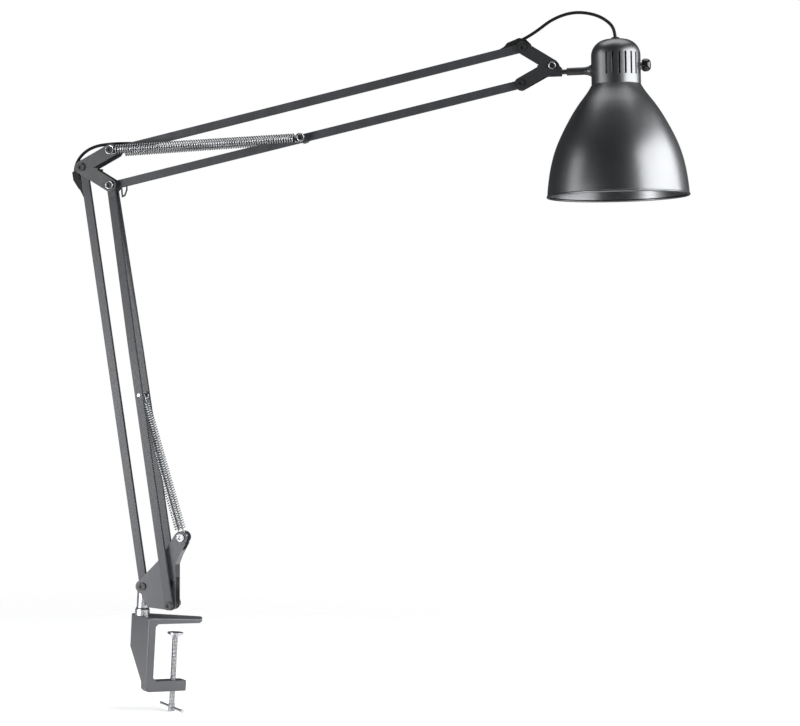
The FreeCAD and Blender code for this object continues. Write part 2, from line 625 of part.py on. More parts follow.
save("elbow_plate_near", elbow_plate(-ELBOW_OUT, -ELBOW_IN))
save("elbow_plate_far", elbow_plate(ELBOW_IN, ELBOW_OUT))
save("elbow_pivot_screws",
     pivot_screw(ELBOW_REAR, -ELBOW_OUT, ELBOW_OUT + NUT_THICK + 1),
     pivot_screw(ELBOW_FRONT, -ELBOW_OUT, ELBOW_OUT + NUT_THICK + 1))
save("elbow_pivot_nuts", lock_nut(ELBOW_REAR, ELBOW_OUT), lock_nut(ELBOW_FRONT, ELBOW_OUT))
save("elbow_bushes", *(bush_pair(ELBOW_REAR, BAR_HALF + BUSH_GAP, ELBOW_IN)
                       + bush_pair(ELBOW_TOP, BAR_HALF + BUSH_GAP, ELBOW_IN)))
HOOK_Y_ELBOW = UPPER_Y_ELBOW - HOOK_BEND
HOOK_Y_BAR = UPPER_Y_BAR + HOOK_BEND
hook_half = UPPER_WIRE / 2.0 + 0.25


def spring_pin(point, r, hook_y, head_r, head_t):
    """A pin through the bar or the plates, headed at both ends outside the hooks."""
    pin = cross_cylinder(r, -hook_y - hook_half, hook_y + hook_half)
    for side in (-1, 1):
        y = side * (hook_y + hook_half)
        pin = pin.fuse(cross_cylinder(head_r, min(y, y + side * head_t), max(y, y + side * head_t)))
    corners = [(SOCKET_R * math.cos(math.radians(a)), SOCKET_R * math.sin(math.radians(a)))
               for a in range(0, 360, 60)]
    face = -hook_y - hook_half - head_t
    return place(pin.cut(slab(corners, face, face + SOCKET_DEPTH)).removeSplitter(), point)


save("elbow_spring_pin", spring_pin(ELBOW_TOP, SHAFT_R, HOOK_Y_ELBOW, 4.9, 1.8))
save("elbow_spring_sleeves", *bush_pair(ELBOW_TOP, ELBOW_OUT, HOOK_Y_ELBOW - hook_half, 3.6))

# ==== upper arm ====
top_bar = single_bar(ARM_LENGTH)
top_bar = top_bar.cut(box(5, 50, -SLOT_HALF, SLOT_HALF, half_h - BAR_WALL - 0.5, half_h + 1))
top_bar = top_bar.cut(box(ARM_LENGTH - 36, ARM_LENGTH - 8, -SLOT_HALF, SLOT_HALF, half_h - BAR_WALL - 0.5, half_h + 1))
save("upper_top_bar", place(top_bar, ELBOW_TOP, UPPER_ARM_ANGLE))
bottom_bar = single_bar(ARM_LENGTH).cut(cross_cylinder(BAR_PIN_R + FIT, -10, 10, UPPER_SPRING_PIN))
save("upper_bottom_bar", place(bottom_bar, ELBOW_FRONT, UPPER_ARM_ANGLE))
save("bar_spring_pin", spring_pin(BAR_SPRING, BAR_PIN_R, HOOK_Y_BAR, 4.2, 1.6))
save("bar_spring_sleeves", *bush_pair(BAR_SPRING, BAR_HALF, HOOK_Y_BAR - hook_half, 3.2, BAR_PIN_R + FIT))

stop_points = [V(9.6, 0, -half_h + 0.4), V(9.4, 0, -7.0), V(8.5, 0, -14.2), V(11.6, 0, -13.4), V(15.2, 0, -7.7),
               V(15.8, 0, -half_h + 0.4)]
stop = Part.makeSphere(STOP_WIRE / 2.0, stop_points[0])
for a, b in zip(stop_points[:-1], stop_points[1:]):
    stop = stop.fuse(Part.makeCylinder(STOP_WIRE / 2.0, (b - a).Length, a, b - a))
    stop = stop.fuse(Part.makeSphere(STOP_WIRE / 2.0, b))
stop = stop.removeSplitter().cut(box(-5, 40, -3, 3, -half_h, half_h))
save("arm_stop_loop", place(stop, ELBOW_FRONT, UPPER_ARM_ANGLE))


# ==== head bracket ====
def head_plate(y0, y1):
    low = V(0, 0, 0)
    high = HEAD_HIGH - HEAD_LOW
    tilt = TILT - HEAD_LOW
    r = 6.5
    plate = link_plate([low, tilt], r, y0, y1).fuse(link_plate([high, tilt], r, y0, y1))
    tip = V(16.7, 0, 17.6)
    plate = plate.fuse(slab([(tilt.x, tilt.z), (tip.x, tip.z + 2.2), (tip.x, tip.z - 2.2)], y0, y1))
    nose = slab([(tilt.x - 5.4, tilt.z - 10.9), (tilt.x + 9.8, tilt.z - 10.0), (tilt.x + 9.4, tilt.z - 1.6),
                 (tilt.x + 1.2, tilt.z + 5.7), (tilt.x - 6.3, tilt.z + 4.7)], y0, y1)
    plate = plate.fuse(nose).removeSplitter()
    for p in (low, high, tilt):
        plate = plate.cut(cross_cylinder(SHAFT_R + FIT, y0, y1, p.x, p.z))
    return place(plate, HEAD_LOW)


save("head_plate_near", head_plate(-HEAD_OUT, -HEAD_IN))
save("head_plate_far", head_plate(HEAD_IN, HEAD_OUT))
head_pivots = (HEAD_LOW, HEAD_HIGH, TILT)
save("head_pivot_screws", *[pivot_screw(p, -HEAD_OUT, HEAD_OUT + NUT_THICK + 1, head_r=4.0) for p in head_pivots])
save("head_pivot_nuts", *[lock_nut(p, HEAD_OUT, nut_r=3.9) for p in head_pivots])


# ==== knuckle and head, drawn from the tilt pivot and leaned with the shade ====
def in_head(shape):
    moved = shape.copy()
    lean = FreeCAD.Placement(TILT, FreeCAD.Rotation(V(0, 1, 0), -HEAD_LEAN))
    moved.Placement = lean.multiply(shape.Placement)
    return moved


def along_rod(r, x0, x1):
    return Part.makeCylinder(r, x1 - x0, V(x0, 0, -ROD_DROP), V(1, 0, 0))


SPIGOT_NOSE_R = 2.2
knuckle = cross_cylinder(6.0, -BAR_HALF, BAR_HALF)
knuckle = knuckle.fuse(slab([(-2.5, -5.4), (0.5, -9.3), (9.0, -9.3), (9.0, -3.9), (5.4, -2.5)], -2.6, 2.6))
knuckle = knuckle.fuse(along_rod(2.6, 6.0, ROD_START - 0.2)).fuse(along_rod(SPIGOT_NOSE_R, ROD_START - 1, ROD_START + 18))
knuckle = knuckle.cut(cross_cylinder(SHAFT_R + FIT, -10, 10)).removeSplitter()
save("tilt_knuckle", in_head(knuckle))

shade_axis = V(NECK_AXIS, 0, -ROD_DROP)
flare = [(ROD_START, 0), (ROD_START, ROD_R), (33.0, ROD_R), (36.5, 4.6), (39.5, 5.9), (41.6, 7.6), (42.6, 8.9),
         (47.0, 8.9), (47.0, 0)]
rod_face = Part.Face(Part.makePolygon([V(x, 0, r) for x, r in flare + flare[:1]]))
rod = rod_face.revolve(V(0, 0, 0), V(1, 0, 0), 360)
rod.translate(V(0, 0, -ROD_DROP))
neck_cut = Part.makeCylinder(NECK_R + FIT, 80, shade_axis - V(0, 0, 40))
rod = rod.cut(neck_cut)
rod = rod.cut(along_rod(SPIGOT_NOSE_R + FIT, ROD_START - 1, ROD_START + 18.5))
save("head_rod", in_head(rod))


def bell_outline(offset):
    """Outer line of the bell from the rim up to the neck, moved inwards by an offset."""
    marks = [(RIM_R, -RIM_DROP), (71.9, -112.2), (64.8, -82.9), (53.4, -58.2), (38.9, -34.7), (29.4, -22.0),
             (NECK_R, NECK_FOOT)]
    curve = Part.BSplineCurve()
    curve.interpolate([V(r, 0, z) for r, z in marks])
    if offset == 0:
        return curve
    moved = []
    for r, z in marks:
        u = curve.parameter(V(r, 0, z))
        t = curve.tangent(u)[0]
        n = V(-t.z, 0, t.x)
        moved.append(V(r, 0, z) + n * (offset if n.x < 0 else -offset))
    moved[0] = V(RIM_R - offset, 0, -RIM_DROP)
    moved[-1] = V(NECK_R - offset, 0, NECK_FOOT)
    inner = Part.BSplineCurve()
    inner.interpolate(moved)
    return inner


def shade_shell():
    outer = bell_outline(0)
    inner = bell_outline(SHEET)
    dome_r = 11.0
    top_r = NECK_R - dome_r

    def dome(shrink):
        a = V(NECK_R - shrink, 0, NECK_TOP)
        c = V(5.0, 0, DOME_TOP - shrink)
        m = V(NECK_R - shrink - 5.2, 0, NECK_TOP + 11.4 - 0.3 * shrink)
        return Part.Arc(a, m, c)

    hole = 3.2
    edges = [outer.toShape(),
             Part.LineSegment(V(NECK_R, 0, NECK_FOOT), V(NECK_R, 0, NECK_TOP)).toShape(),
             dome(0).toShape(),
             Part.LineSegment(V(5.0, 0, DOME_TOP), V(hole, 0, DOME_TOP)).toShape(),
             Part.LineSegment(V(hole, 0, DOME_TOP), V(hole, 0, DOME_TOP - SHEET)).toShape(),
             Part.LineSegment(V(hole, 0, DOME_TOP - SHEET), V(5.0, 0, DOME_TOP - SHEET)).toShape(),
             dome(SHEET).toShape(),
             Part.LineSegment(V(NECK_R - SHEET, 0, NECK_TOP), V(NECK_R - SHEET, 0, NECK_FOOT)).toShape(),
             inner.toShape(),
             Part.LineSegment(V(RIM_R - SHEET, 0, -RIM_DROP), V(RIM_R, 0, -RIM_DROP)).toShape()]
    face = Part.Face(Part.Wire(Part.__sortEdges__(edges)))
    shell = face.revolve(V(0, 0, 0), V(0, 0, 1), 360)
    lip = Part.makeTorus(RIM_R - 0.6, 1.3, V(0, 0, -RIM_DROP), V(0, 0, 1))
    shell = shell.fuse(lip)
    for k in range(SLOT_COUNT):
        a = SLOT_FIRST + SLOT_STEP * k
        for mirror in (-1, 1):
            slot = box(NECK_R - 4, NECK_R + 4, -SLOT_WIDTH / 2, SLOT_WIDTH / 2, SLOT_LOW, SLOT_HIGH)
            slot.rotate(V(0, 0, 0), V(0, 0, 1), mirror * (90 - a))
            shell = shell.cut(slot)
    shell = shell.cut(Part.makeCylinder(2.6, 12, V(NECK_R - 6, 0, KNOB_LEVEL), V(1, 0, 0)))
    return shell


def on_shade_axis(height):
    """The point of the shade's axis at a height above the rod."""
    local = FreeCAD.Rotation(V(0, 1, 0), -HEAD_LEAN).multVec(shade_axis + V(0, 0, height))
    return TILT + local


def on_axis(shape):
    moved = shape.copy()
    moved.Placement = FreeCAD.Placement(shade_axis, FreeCAD.Rotation()).multiply(shape.Placement)
    return in_head(moved)


save("shade", on_axis(shade_shell()))

grommet = revolve([(1.85, DOME_TOP - 3.2), (3.1, DOME_TOP - 3.2), (3.1, DOME_TOP + 0.05), (5.2, DOME_TOP + 0.05),
                   (5.0, DOME_TOP + 1.6), (3.2, DOME_TOP + 2.8), (1.85, DOME_TOP + 2.8)])
save("cable_grommet", on_axis(grommet))
bridge = box(-NECK_R + SHEET + 0.1, NECK_R - SHEET - 0.1, -9, 9, HOLDER_TOP + 0.1, HOLDER_TOP + 2.1)
bridge = bridge.common(Part.makeCylinder(NECK_R - SHEET - 0.02, 40, V(0, 0, -20)))
bridge = bridge.cut(Part.makeCylinder(2.6, 10, V(0, 0, HOLDER_TOP - 3)))
save("holder_bridge", on_axis(bridge))
holder = revolve([(2.6, HOLDER_TOP), (HOLDER_R - 4, HOLDER_TOP), (HOLDER_R, HOLDER_TOP - 6), (HOLDER_R, HOLDER_FOOT),
                  (CAP_R + 0.15, HOLDER_FOOT), (CAP_R + 0.15, HOLDER_TOP - 8), (2.6, HOLDER_TOP - 8)])
save("lampholder", on_axis(holder))
contact_top = HOLDER_TOP - 8.2
cap = revolve([(0, contact_top), (4.5, contact_top), (7.0, contact_top - 3), (CAP_R, contact_top - 3.4),
               (CAP_R, HOLDER_FOOT - 0.5), (0, HOLDER_FOOT - 0.5)])
save("bulb_cap", on_axis(cap))


def bulb_solid(skin):
    """A round end and a waist, a given distance inside the bulb's outer face."""
    foot = HOLDER_FOOT - 0.5
    side = Part.BSplineCurve()
    side.interpolate([V(CAP_R - 0.6 - skin, 0, foot), V(20.0 - skin, 0, foot - 22.0), V(BULB_R - skin, 0, BULB_CENTRE)])
    corners = [V(BULB_R - skin, 0, BULB_CENTRE), V(0, 0, BULB_CENTRE), V(0, 0, foot), V(CAP_R - 0.6 - skin, 0, foot)]
    edges = [side.toShape()] + [Part.LineSegment(a, b).toShape() for a, b in zip(corners[:-1], corners[1:])]
    waist = Part.Face(Part.Wire(Part.__sortEdges__(edges))).revolve(V(0, 0, 0), V(0, 0, 1), 360)
    ball = Part.makeSphere(BULB_R - skin, V(0, 0, BULB_CENTRE), V(0, 0, 1), -90, 0)
    return waist.fuse(ball)


save("light_bulb", on_axis(bulb_solid(0).cut(bulb_solid(BULB_WALL))))
switch = box(14.0, NECK_R - SHEET - 0.6, -6.5, 6.5, KNOB_LEVEL - 7.5, KNOB_LEVEL + 7.5)
switch = switch.fuse(Part.makeCylinder(2.5, 5.0, V(NECK_R - SHEET - 1.6, 0, KNOB_LEVEL), V(1, 0, 0)))
switch = switch.cut(Part.makeCylinder(1.5, 14, V(16.0, 0, KNOB_LEVEL), V(1, 0, 0)))
save("switch_body", on_axis(switch))
wire_drop = Part.makeCylinder(CABLE_R, DOME_TOP - 3.3 - HOLDER_TOP - 0.2, V(0, 0, HOLDER_TOP + 0.1))
save("head_inner_cable", on_axis(wire_drop))
x0 = NECK_R + 3.0
knob_outline = [(x0, 0), (x0, KNOB_R - 0.5), (x0 + 0.8, KNOB_R), (x0 + 4.6, KNOB_R), (x0 + 6.6, KNOB_R - 0.9),
                (x0 + 8.0, KNOB_R - 3.0), (NECK_R + KNOB_HEIGHT, 0)]
knob_face = Part.Face(Part.makePolygon([V(x, 0, r) for x, r in knob_outline + knob_outline[:1]]))
knob = knob_face.revolve(V(0, 0, 0), V(1, 0, 0), 360)
knob = knob.fuse(Part.makeCylinder(1.3, x0 - 17.0, V(17.0, 0, 0), V(1, 0, 0)))
knob.translate(V(0, 0, KNOB_LEVEL))
save("switch_knob", on_axis(knob))
ferrule = Part.makeCylinder(4.6, 2.2, V(NECK_R - 0.4, 0, KNOB_LEVEL), V(1, 0, 0))
ferrule = ferrule.cut(Part.makeCylinder(2.55, 6, V(NECK_R - 2, 0, KNOB_LEVEL), V(1, 0, 0)))
ferrule = ferrule.cut(Part.makeCylinder(NECK_R + 0.02, 40, V(0, 0, -20)))
save("switch_ferrule", on_axis(ferrule))


# ==== springs ====
def make_spring(length, start, turns, r, wire, pin_r):
    edges, pitch = coil_edges(start, length - start, turns, r)
    centre = r - wire / 2.0 - pin_r - PIN_SEAT
    first = hook_edges(start, centre, r, pitch, wire)
    last = turned_about_end(first, length)
    return edges, first, last, pitch


upper_nodes = {}
for side, label, flip in ((-1, "near", True), (1, "far", False)):
    frame, length = spring_frame(ELBOW_TOP, BAR_SPRING, side * UPPER_Y_ELBOW, side * UPPER_Y_BAR, flip)
    coil, first, last, pitch = make_spring(length, UPPER_COIL_START, UPPER_TURNS, UPPER_COIL_R, UPPER_WIRE, SHAFT_R)
    last = hook_edges(UPPER_COIL_START, UPPER_COIL_R - UPPER_WIRE / 2.0 - BAR_PIN_R - PIN_SEAT, UPPER_COIL_R, pitch,
                      UPPER_WIRE)
    last = turned_about_end(last, length)
    print("upper spring", label, "pitch %.2f, least gap %.2f" % (pitch, least_gap(coil, UPPER_WIRE, 8.0)))
    solid, run = tube_along(coil, UPPER_WIRE)
    save("upper_spring_" + label, at(solid, frame))
    upper_nodes[label] = (at(tube_along(first, UPPER_WIRE)[0], frame), at(tube_along(last, UPPER_WIRE)[0], frame))
save("upper_spring_elbow_hooks", upper_nodes["near"][0], upper_nodes["far"][0])
save("upper_spring_bar_hooks", upper_nodes["near"][1], upper_nodes["far"][1])

for side, label, flip in ((-1, "near", True), (1, "far", False)):
    frame, length = spring_frame(ANCHOR, FRONT_SPRING, side * LOWER_Y_BASE, side * LOWER_Y_BAR, flip)
    coil, pitch = coil_edges(LOWER_COIL_START, length - LOWER_COIL_START, LOWER_TURNS, LOWER_COIL_R)
    first = hook_edges(LOWER_COIL_START, LOWER_COIL_R - LOWER_WIRE / 2.0 - ANCHOR_PIN_R - PIN_SEAT, LOWER_COIL_R,
                       pitch, LOWER_WIRE)
    last = hook_edges(LOWER_COIL_START, LOWER_COIL_R - LOWER_WIRE / 2.0 - BAR_PIN_R - PIN_SEAT, LOWER_COIL_R,
                      pitch, LOWER_WIRE)
    whole = reversed_edges(first) + coil + turned_about_end(last, length)
    print("lower spring", label, "pitch %.2f, least gap %.2f" % (pitch, least_gap(whole, LOWER_WIRE, 8.0)))
    solid, run = tube_along(whole, LOWER_WIRE)
    save("lower_spring_" + label, at(solid, frame))

# ==== cable ====
def route(origin, *points):
    """Route points in the plane of the arm, measured from a pivot."""
    return [origin + V(x, 0, z) for x, z in points]


elbow_route = route(ELBOW_FRONT, (51.7, 52.3), (32.0, 47.2), (13.0, 46.7), (-6.0, 45.4), (-23.8, 41.9), (-37.3, 32.6),
                    (-44.1, 18.8), (-41.4, 4.9), (-33.7, -7.7), (-27.1, -19.9), (-23.1, -32.2))
save("elbow_cable_loop", cable("elbow_cable_loop", elbow_route))
head_route = route(HEAD_LOW, (-41.1, 26.7), (-29.3, 31.1), (-15.8, 39.8), (-2.1, 45.8), (12.5, 55.0), (29.7, 69.4),
                   (51.3, 77.3), (74.1, 75.3), (89.7, 67.0))
head_route += [on_shade_axis(DOME_TOP + 8.5), on_shade_axis(DOME_TOP - 3.0)]
save("head_cable_loop", cable("head_cable_loop", head_route))


def inner_cable(start, end):
    """The straight cable inside a bar, a hair short of the loops at its ends."""
    run = end - start
    gap = V(run).normalize() * JOIN_GAP
    return Part.makeCylinder(CABLE_R, run.Length - 2 * JOIN_GAP, start + gap, run)


save("upper_bar_cable", inner_cable(elbow_route[0], head_route[0]))
save("rear_bar_cable", inner_cable(elbow_route[-1], REAR + polar(24.0, LOWER_ARM_ANGLE)))


def fat_cable(points):
    return tube_along(rounded_route(points)[0], CABLE_D + 2 * CABLE_FIT)[0]


boot_half = BAR_HALF - 0.1
guide = slab([(-21.1, 36.8), (-16.9, 42.5), (-4.7, 48.1), (2.3, 47.5), (8.1, 42.3), (9.0, 37.8),
              (5.9, 37.6)], -boot_half, boot_half)
guide = place(guide, HEAD_LOW)
bar_block = place(bar_outline(ARM_LENGTH, half_h + 0.02), ELBOW_TOP, UPPER_ARM_ANGLE)
guide = guide.cut(bar_block).cut(fat_cable(head_route))
save("cable_guide", guide.removeSplitter())
rear_boot = slab([(-32.1, -9.6), (-37.9, -4.4), (-44.1, 4.2), (-45.9, 12.7), (-42.9, 14.8),
                  (-38.8, 14.0), (-36.5, 5.1), (-35.3, 5.2)], -boot_half, boot_half)
rear_boot = place(rear_boot, ELBOW_FRONT)
rear_block = place(bar_outline(ARM_LENGTH, half_h + 0.02), REAR, LOWER_ARM_ANGLE)
rear_boot = rear_boot.cut(rear_block).cut(fat_cable(elbow_route))
rear_boot = rear_boot.cut(cross_cylinder(BUSH_R + 0.5, -9, 9, ELBOW_REAR.x, ELBOW_REAR.z))
save("rear_bar_cable_boot", rear_boot.removeSplitter())
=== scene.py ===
# Spring-balanced desk lamp on a table clamp: two parallel-bar arms, a bell shade and a rotary
# switch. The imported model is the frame. This script adds the camera, light, floor and finishes,
# and winds the springs and lays the cable that plain solids stand in for.
import math

import bmesh
import bpy
from mathutils import Matrix, Vector


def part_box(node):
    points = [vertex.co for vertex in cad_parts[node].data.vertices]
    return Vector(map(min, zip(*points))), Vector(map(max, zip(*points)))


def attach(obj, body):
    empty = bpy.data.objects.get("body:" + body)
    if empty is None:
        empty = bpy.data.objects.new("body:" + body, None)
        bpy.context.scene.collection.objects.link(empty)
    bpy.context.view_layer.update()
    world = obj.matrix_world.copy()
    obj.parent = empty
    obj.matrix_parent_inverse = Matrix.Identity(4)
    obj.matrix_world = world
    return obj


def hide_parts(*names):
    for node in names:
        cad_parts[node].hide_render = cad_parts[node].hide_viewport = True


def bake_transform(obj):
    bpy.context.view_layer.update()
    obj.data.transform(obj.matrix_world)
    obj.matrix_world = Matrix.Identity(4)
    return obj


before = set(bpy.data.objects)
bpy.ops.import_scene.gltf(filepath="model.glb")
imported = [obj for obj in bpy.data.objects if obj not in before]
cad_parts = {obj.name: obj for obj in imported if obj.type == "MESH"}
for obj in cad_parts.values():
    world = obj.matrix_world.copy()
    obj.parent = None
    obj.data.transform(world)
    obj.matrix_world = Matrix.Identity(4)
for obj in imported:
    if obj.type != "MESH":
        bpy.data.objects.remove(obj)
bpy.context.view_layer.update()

# ==== Studio ====
# The camera stands where the photograph's did and leans as it did. A pale floor that fades out
# carries the shadow. The world is white to the camera alone, and four soft lamps light the object.
MM = 0.001
WHITE = (1.0, 1.0, 1.0, 1.0)
CAMERA_PLACE = (0.71286, -2.31648, 0.31921)
CAMERA_AXES = Matrix((
    (0.97974, -0.05268, 0.19323),
    (0.19350, 0.0, -0.98110),
    (0.05169, 0.99861, 0.01019),
))
LENS = 100.07
SENSOR_WIDTH = 36.0

camera = bpy.data.objects.new("camera", bpy.data.cameras.new("camera"))
bpy.context.scene.collection.objects.link(camera)
camera.matrix_world = Matrix.Translation(CAMERA_PLACE) @ CAMERA_AXES.to_4x4()
camera.data.lens = LENS
camera.data.sensor_width = SENSOR_WIDTH
camera.data.sensor_fit = "HORIZONTAL"
bpy.context.scene.camera = camera
bpy.context.scene.view_settings.view_transform = "Standard"


class Socket:
    """A shader output that sums can be done with."""

    NOISE_LOW = 0.3
    NOISE_HIGH = 0.7

    def __init__(self, shader, output):
        self.shader = shader
        self.output = output

    def apply(self, operation, other=0.0):
        return self.shader.node("Math", {0: self, 1: other}, operation=operation)

    def __add__(self, other):
        return self.apply("ADD", other)

    def __mul__(self, other):
        return self.apply("MULTIPLY", other)

    __radd__ = __add__
    __rmul__ = __mul__

    def away_from(self, point):
        return self.shader.node("VectorMath", {0: self, 1: point}, operation="SUBTRACT")

    def scaled(self, x, y, z):
        return self.shader.node("VectorMath", {0: self, 1: (x, y, z)}, operation="MULTIPLY")

    def dot(self, vector):
        return self.shader.node("VectorMath", {0: self, 1: vector}, "Value",
                                operation="DOT_PRODUCT")

    def distance(self):
        return self.shader.node("VectorMath", {0: self}, "Value", operation="LENGTH")

    def between(self, low, high, start=0.0, end=1.0, **settings):
        inputs = {"Value": self, "From Min": low, "From Max": high, "To Min": start, "To Max": end}
        return self.shader.node("MapRange", inputs, **settings)

    def levels(self, low, high):
        """A noise stretched from one level to another over its usual range."""
        return self.between(self.NOISE_LOW, self.NOISE_HIGH, low, high)


class Shader:
    """The nodes of a material or of the world. Each one added comes from its one method, node."""

    def __init__(self, owner, base):
        owner.use_nodes = True
        self.owner = owner
        self.tree = owner.node_tree
        self.base = self.tree.nodes[base]

    def put(self, socket, value):
        if isinstance(value, Socket):
            self.tree.links.new(value.output, socket)
        else:
            socket.default_value = value

    def node(self, kind, inputs, output=0, **settings):
        node = self.tree.nodes.new("ShaderNode" + kind)
        for key, value in settings.items():
            setattr(node, key, value)
        for key, value in inputs.items():
            self.put(node.inputs[key], value)
        return Socket(self, node.outputs[output])

    def finish(self, **inputs):
        for key, value in inputs.items():
            self.put(self.base.inputs[key.replace("_", " ")], value)
        return self.owner


class Finish(Shader):
    """A material whose patterns lie on Object coordinates."""

    MIX_FACTOR, MIX_A, MIX_B, MIX_RESULT = 0, 6, 7, 2

    def __init__(self, name):
        super().__init__(bpy.data.materials.new(name), "Principled BSDF")
        self.place = self.node("TexCoord", {}, "Object")

    def noise(self, scale, detail=2.0, place=None):
        inputs = {"Vector": place or self.place, "Scale": scale, "Detail": detail}
        return self.node("TexNoise", inputs)

    def blend(self, factor, a, b):
        inputs = {self.MIX_FACTOR: factor, self.MIX_A: (*a, 1.0), self.MIX_B: (*b, 1.0)}
        return self.node("Mix", inputs, self.MIX_RESULT, data_type="RGBA")

    def tint(self, factor, colour, darkest, lightest):
        """A colour between two shades of itself."""
        return self.blend(factor, shade_of(colour, darkest), shade_of(colour, lightest))

    def relief(self, height, depth, rounding=0.0):
        """The normal of a height field of that depth, with edges rounded by the radius."""
        inputs = {"Height": height, "Distance": depth, "Strength": 1.0}
        if rounding:
            inputs["Normal"] = self.node("Bevel", {"Radius": rounding}, samples=4)
        return self.node("Bump", inputs)


def shade_of(colour, factor):
    return tuple(c * factor for c in colour)


def mesh_object(name, mesh, material):
    piece = bpy.data.objects.new(name, mesh)
    bpy.context.scene.collection.objects.link(piece)
    mesh.materials.clear()
    mesh.materials.append(material)
    return piece


FLOOR_CENTRE = (0.2, 0.0, -0.0962)
FLOOR_RADIUS = 1.4
FADE_START = 0.45
FADE_END = 1.2
mesh = bpy.data.meshes.new("floor")
build = bmesh.new()
bmesh.ops.create_circle(build, cap_ends=True, segments=96, radius=FLOOR_RADIUS)
bmesh.ops.translate(build, verts=build.verts, vec=FLOOR_CENTRE)
build.to_mesh(mesh)
build.free()
shader = Finish("floor")
reach = shader.place.away_from(FLOOR_CENTRE).distance()
fade = reach.between(FADE_START, FADE_END, 1.0, 0.0, interpolation_type="SMOOTHSTEP")
grain = shader.noise(scale=400.0, detail=3.0)
tone = shader.blend(grain, (0.86, 0.86, 0.86), (0.89, 0.89, 0.89))
shader.finish(Base_Color=tone, Roughness=0.8, Alpha=fade,
              Normal=shader.relief(grain, depth=0.05 * MM),
              Emission_Color=WHITE, Emission_Strength=0.35)
floor = mesh_object("floor", mesh, shader.owner)

bpy.context.scene.world = bpy.data.worlds.new("studio")
sky = Shader(bpy.context.scene.world, "Background")
sky.finish(Color=(0.92, 0.96, 1.0, 1.0), Strength=0.10)
dim = Socket(sky, sky.base.outputs["Background"])
white = sky.node("Background", {"Color": WHITE})
seen = sky.node("LightPath", {}, "Is Camera Ray")
sky.put(sky.tree.nodes["World Output"].inputs["Surface"],
        sky.node("MixShader", {"Fac": seen, 1: dim, 2: white}))


def soft_light(name, place, target, width, height, power):
    light = bpy.data.lights.new(name, "AREA")
    light.shape = "RECTANGLE"
    light.size = width
    light.size_y = height
    light.energy = power
    lamp = bpy.data.objects.new(name, light)
    bpy.context.scene.collection.objects.link(lamp)
    lamp.location = place
    lamp.rotation_euler = (Vector(target) - Vector(place)).to_track_quat("-Z", "Y").to_euler()


soft_light("key_right", place=(1.35, -0.12, 0.72), target=(0.45, 0.0, 0.55),
           width=1.4, height=1.1, power=34.0)
soft_light("fill_left", place=(-1.5, -0.7, 0.75), target=(0.2, 0.0, 0.45),
           width=0.8, height=1.4, power=9.0)
soft_light("low_left", place=(-1.0, -1.25, 0.05), target=(-0.05, 0.0, 0.15),
           width=0.8, height=0.6, power=28.0)
soft_light("overhead", place=(0.2, 0.3, 2.0), target=(0.2, 0.0, 0.2),
           width=1.8, height=1.2, power=16.0)


# ==== Table clamp ====
# A cast C-frame in grey paint, with a threaded steel screw, its swivelling foot and a sliding
# tommy bar. The spigot on top carries the lamp.
def painted(name, colour, rough=0.38, metallic=0.35, flake=0.10, rounding=0.35 * MM):
    """Sprayed metallic paint: fine flake, a slight orange peel, rubbed patches, soft edges."""
    shader = Finish(name)
    flakes = shader.noise(scale=2600.0, detail=1.0)
    clouds = shader.noise(scale=30.0, detail=3.0)
    peel = shader.noise(scale=520.0, detail=2.0)
    rubbed = shader.noise(scale=90.0, detail=4.0, place=shader.place.scaled(1.0, 1.0, 0.25))
    tone = flakes * flake + clouds * 0.10
    return shader.finish(
        Base_Color=shader.tint(tone.between(0.0, 0.16), colour, darkest=0.84, lightest=1.16),
        Roughness=rubbed.levels(rough - 0.05, rough + 0.05),
        Metallic=metallic,
        Normal=shader.relief(peel, depth=0.02 * MM, rounding=rounding),
        Coat_Weight=0.15,
        Coat_Roughness=0.25,
    )


def steel(name, colour=(0.55, 0.56, 0.58), rough=0.26):
    """Turned or drawn steel with fine tool marks across the arm and a few dull spots."""
    shader = Finish(name)
    marks = shader.noise(scale=700.0, detail=2.0, place=shader.place.scaled(1.0, 5.0, 1.0))
    dull = shader.noise(scale=150.0, detail=3.0)
    return shader.finish(
        Base_Color=shader.tint(dull.between(0.35, 0.7), colour, darkest=0.9, lightest=1.08),
        Roughness=marks.levels(rough - 0.07, rough + 0.07),
        Metallic=1.0,
        Normal=shader.relief(marks, depth=0.012 * MM, rounding=0.15 * MM),
    )


def dress(material, *nodes):
    """Gives carried-over CAD nodes their material."""
    for name in nodes:
        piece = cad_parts[name]
        if not piece.material_slots:
            piece.data.materials.append(material)
        for place in piece.material_slots:
            place.material = material


bright = steel("bright_steel")
dress(painted("clamp_paint", (0.080, 0.082, 0.088), rough=0.42, rounding=0.6 * MM), "clamp_frame")
dress(bright, "swivel_spigot", "swivel_collar", "tommy_bar", "clamp_foot")

SCREW_AXIS = (0.02223, 0.006958, 0.0)
THREAD_PITCH = 1.5 * MM
THREAD_DEPTH = 0.5 * MM
shader = Finish("clamp_screw")
around = shader.place.away_from(SCREW_AXIS)
angle = around.dot((0, 1, 0)).apply("ARCTAN2", around.dot((1, 0, 0)))
thread = (around.dot((0, 0, 1)) * (2 * math.pi / THREAD_PITCH) + angle).apply("SINE")
# The same ridge colours the thread's grooves dark and its crests bright steel: painted shade in
# the grooves.
ridge = thread.between(-0.6, 0.6)
dress(shader.finish(
    Base_Color=shader.blend(ridge, (0.22, 0.22, 0.23), (0.62, 0.63, 0.65)),
    Roughness=shader.noise(scale=500.0).levels(0.2, 0.34),
    Metallic=1.0,
    Normal=shader.relief(ridge, THREAD_DEPTH, rounding=0.15 * MM),
), "clamp_screw")


